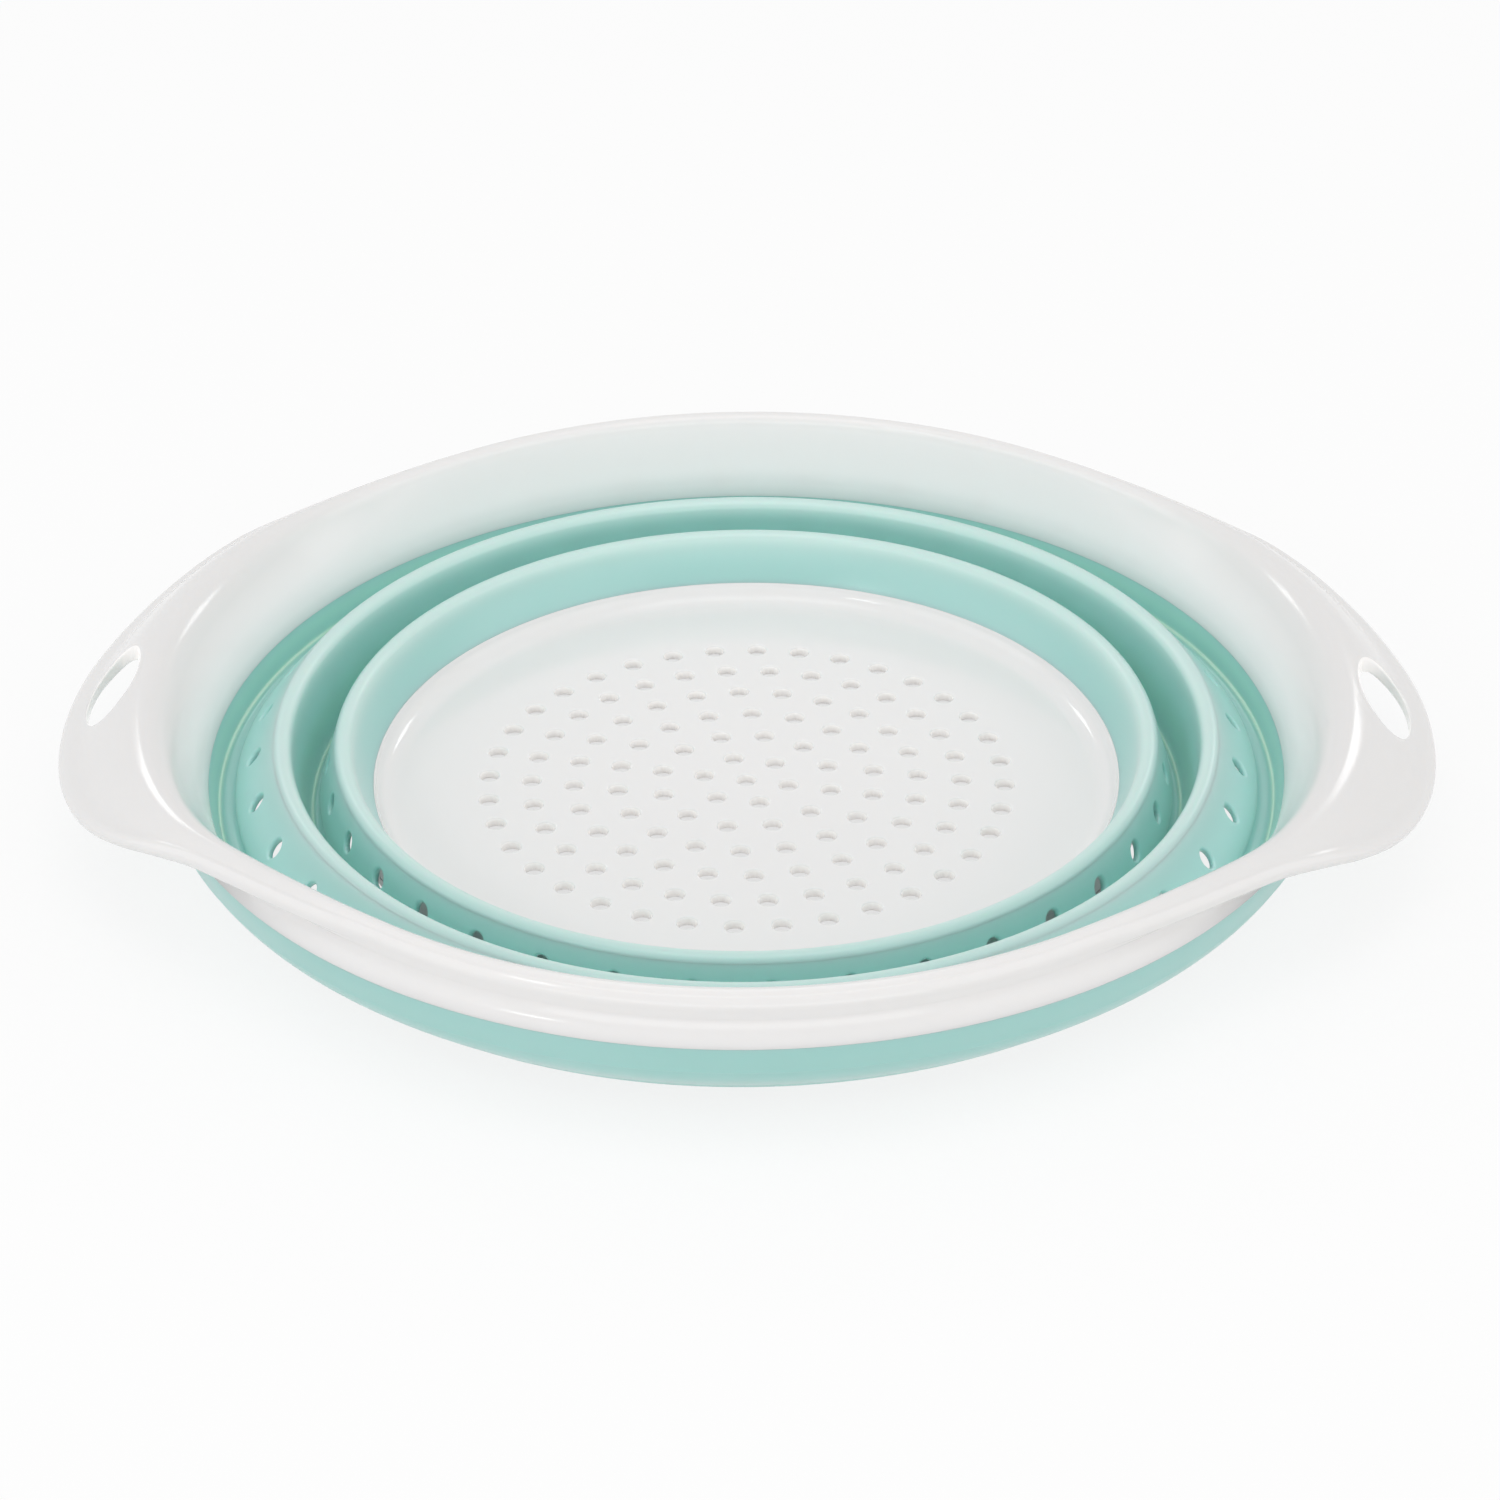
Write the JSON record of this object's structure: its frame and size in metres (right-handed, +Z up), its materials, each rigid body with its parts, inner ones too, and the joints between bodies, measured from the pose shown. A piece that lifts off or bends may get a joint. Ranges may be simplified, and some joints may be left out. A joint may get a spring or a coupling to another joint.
{
  "type": "collapsible colander",
  "caption": "Round collapsible colander folded flat: rigid rim with ear handles and hang holes, soft folding wall with drain holes, perforated rigid base.",
  "frame": {"origin": "centre of the foot ring's underside, on the surface that the colander stands on", "axes": "+Z up along the fold direction, +X from the centre to one ear, +Y across the ears"},
  "size_m": [0.3142, 0.2674, 0.0364],
  "materials": {
    "rim_plastic": "glossy white moulded polypropylene",
    "wall_rubber": "satin mint-green soft moulded rubber",
    "base_plastic": "glossy white moulded polypropylene"
  },
  "bodies": {
    "base": {"base_strainer": "base_plastic", "inner_wall_band": "wall_rubber", "inner_fold_web": "wall_rubber"},
    "middle": {"middle_wall_band": "wall_rubber", "outer_fold_web": "wall_rubber"},
    "rim": {"rim_frame": "rim_plastic", "outer_wall_band": "wall_rubber"}
  },
  "joints": [
    {"name": "middle_lift", "type": "slide", "parent": "base", "child": "middle", "axis": [0, 0, 1], "range_m": [0, 0.0296], "deforming": ["inner_fold_web"]},
    {"name": "rim_lift", "type": "slide", "parent": "middle", "child": "rim", "axis": [0, 0, 1], "range_m": [0, 0.0246], "deforming": ["outer_fold_web"]}
  ]
}
